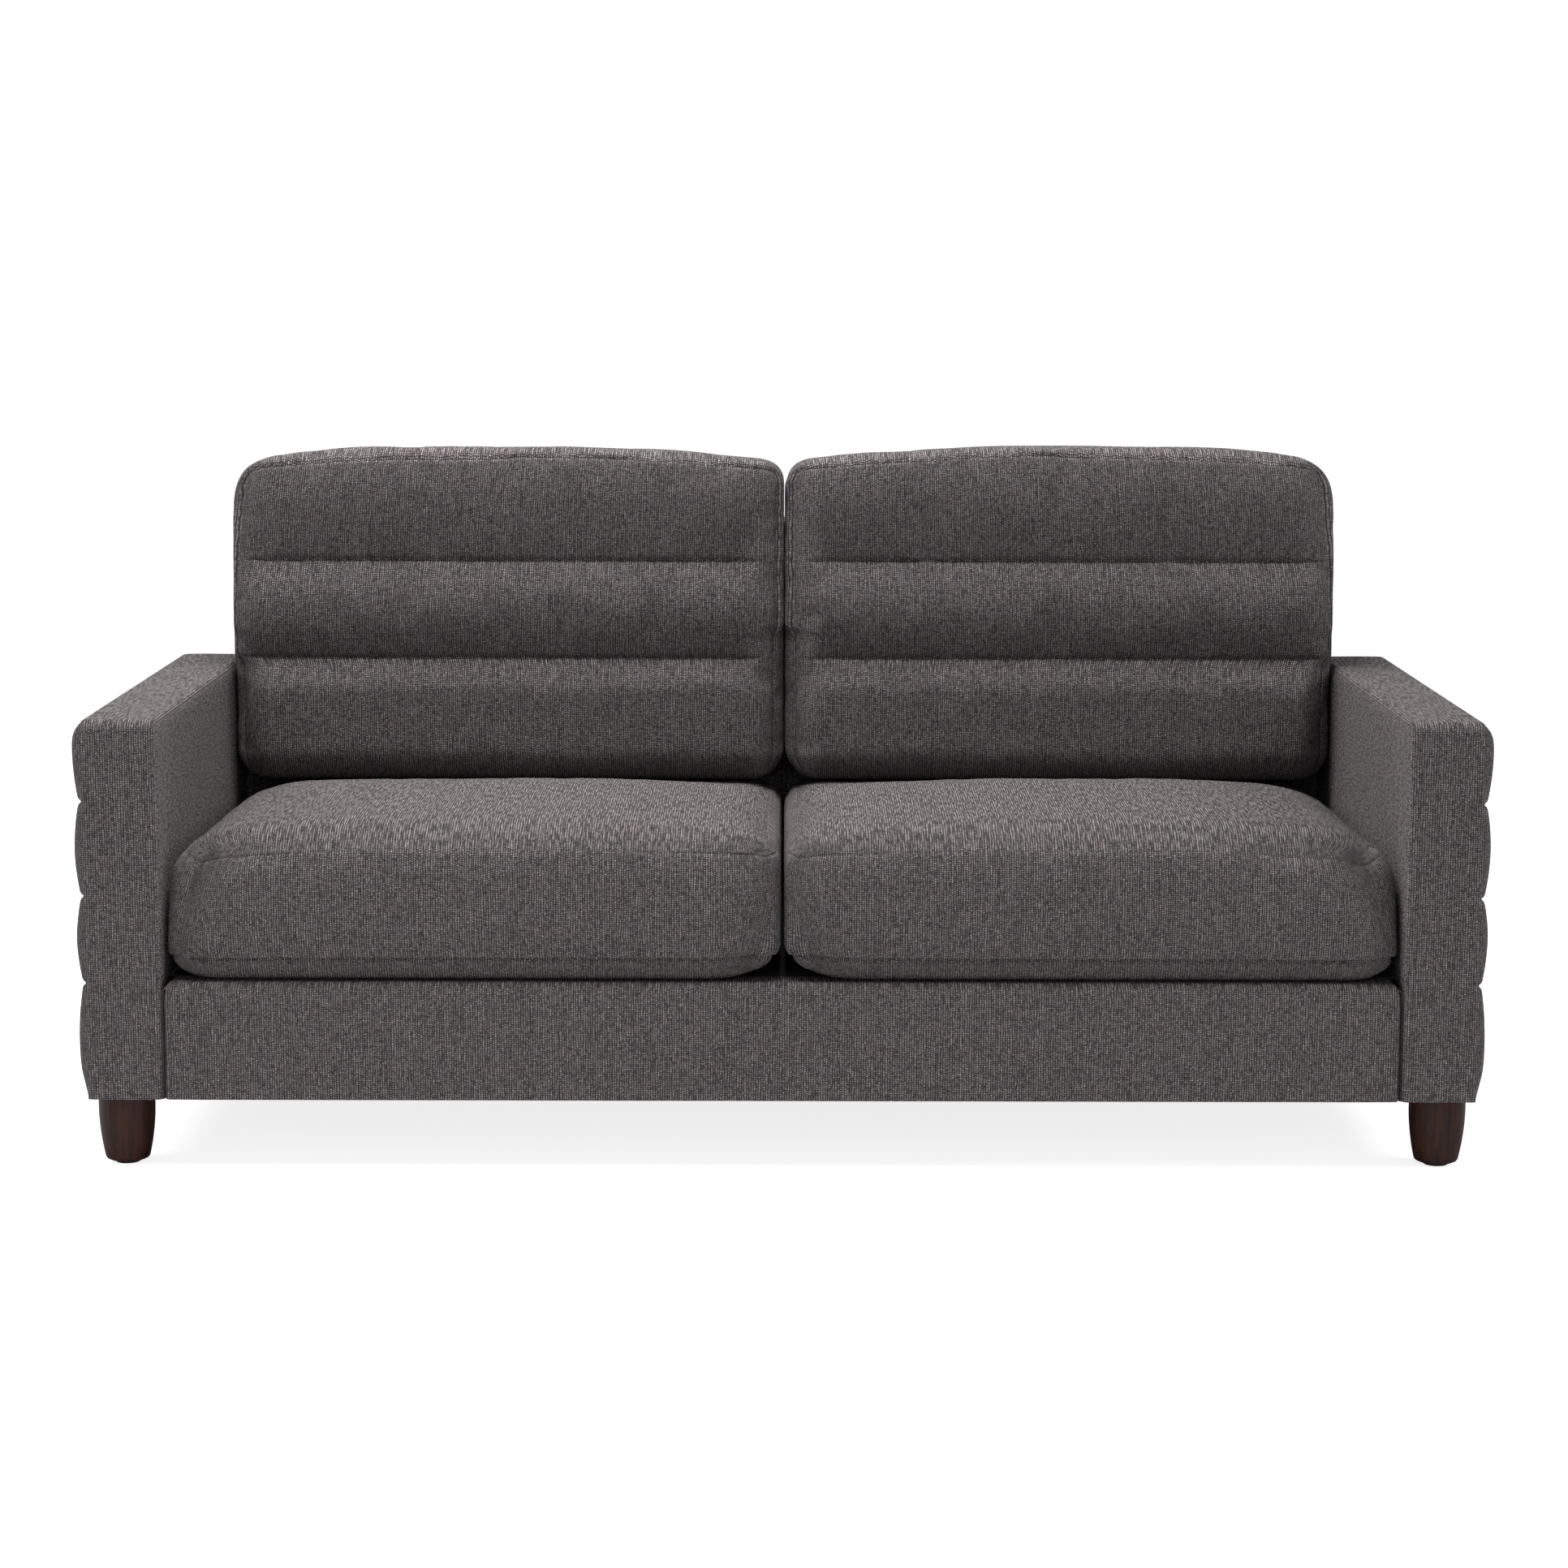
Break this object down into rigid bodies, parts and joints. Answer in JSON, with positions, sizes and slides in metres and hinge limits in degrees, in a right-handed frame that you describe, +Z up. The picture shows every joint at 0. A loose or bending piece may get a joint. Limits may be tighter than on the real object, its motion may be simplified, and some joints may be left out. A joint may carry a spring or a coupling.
{
  "type": "two-seat track-arm sofa",
  "caption": "Upholstered sofa with padded track arms, loose seat cushions, channelled back cushions and round tapered wooden legs.",
  "frame": {"origin": "on the floor at the middle of the sofa's footprint", "axes": "+X along the sofa's length, +Y from its front to its back, +Z up"},
  "size_m": [2, 0.9, 0.9921],
  "materials": {
    "upholstery": "matte woven chenille with fine upright ribs, dark grey-brown",
    "leg_wood": "dark stained hardwood, satin lacquer",
    "frame_wood": "planed softwood, bare",
    "hardboard": "pressed fibre, bare",
    "steel": "zinc-plated steel",
    "lining": "black nonwoven lining",
    "webbing": "woven jute webbing",
    "glide_plastic": "black moulded plastic"
  },
  "bodies": {
    "frame": {"arm_band_left": "upholstery", "arm_band_right": "upholstery", "arm_bolts": "steel", "arm_bottom_rail_left": "frame_wood", "arm_bottom_rail_right": "frame_wood", "arm_front_post_left": "frame_wood", "arm_front_post_right": "frame_wood", "arm_inner_pad_left": "upholstery", "arm_inner_pad_right": "upholstery", "arm_inner_panel_left": "hardboard", "arm_inner_panel_right": "hardboard", "arm_outer_pad_left": "upholstery", "arm_outer_pad_right": "upholstery", "arm_outer_panel_left": "hardboard", "arm_outer_panel_right": "hardboard", "arm_rear_post_left": "frame_wood", "arm_rear_post_right": "frame_wood", "arm_top_board_left": "frame_wood", "arm_top_board_right": "frame_wood", "back_cover": "upholstery", "back_cross_webbing": "webbing", "back_foot_rails": "frame_wood", "back_lower_rails": "frame_wood", "back_post_centre": "frame_wood", "back_post_left": "frame_wood", "back_post_right": "frame_wood", "back_top_rail": "frame_wood", "back_webbing": "webbing", "corner_blocks": "frame_wood", "dust_cover": "lining", "front_rail_pad": "upholstery", "leg_bolts": "steel", "leg_glides": "glide_plastic", "leg_plates": "steel", "legs_front": "leg_wood", "legs_rear": "leg_wood", "outback_panel": "upholstery", "seat_centre_stretcher": "frame_wood", "seat_deck": "lining", "seat_front_rail": "frame_wood", "seat_rear_rail": "frame_wood", "seat_side_rail_left": "frame_wood", "seat_side_rail_right": "frame_wood", "seat_springs": "steel", "spring_clips": "steel", "spring_ties": "steel"},
    "back_cushion_left": {"back_cushion_left": "upholstery"},
    "back_cushion_right": {"back_cushion_right": "upholstery"},
    "seat_cushion_left": {"seat_cushion_left": "upholstery"},
    "seat_cushion_right": {"seat_cushion_right": "upholstery"}
  },
  "joints": [
    {"name": "seat_cushion_left_slide", "type": "slide", "parent": "frame", "child": "seat_cushion_left", "axis": [0, -1, 0], "range_m": [0, 0.85]},
    {"name": "seat_cushion_right_slide", "type": "slide", "parent": "frame", "child": "seat_cushion_right", "axis": [0, -1, 0], "range_m": [0, 0.85]},
    {"name": "back_cushion_left_lift", "type": "slide", "parent": "frame", "child": "back_cushion_left", "axis": [0, 0, 1], "range_m": [0, 0.45]},
    {"name": "back_cushion_right_lift", "type": "slide", "parent": "frame", "child": "back_cushion_right", "axis": [0, 0, 1], "range_m": [0, 0.45]}
  ]
}
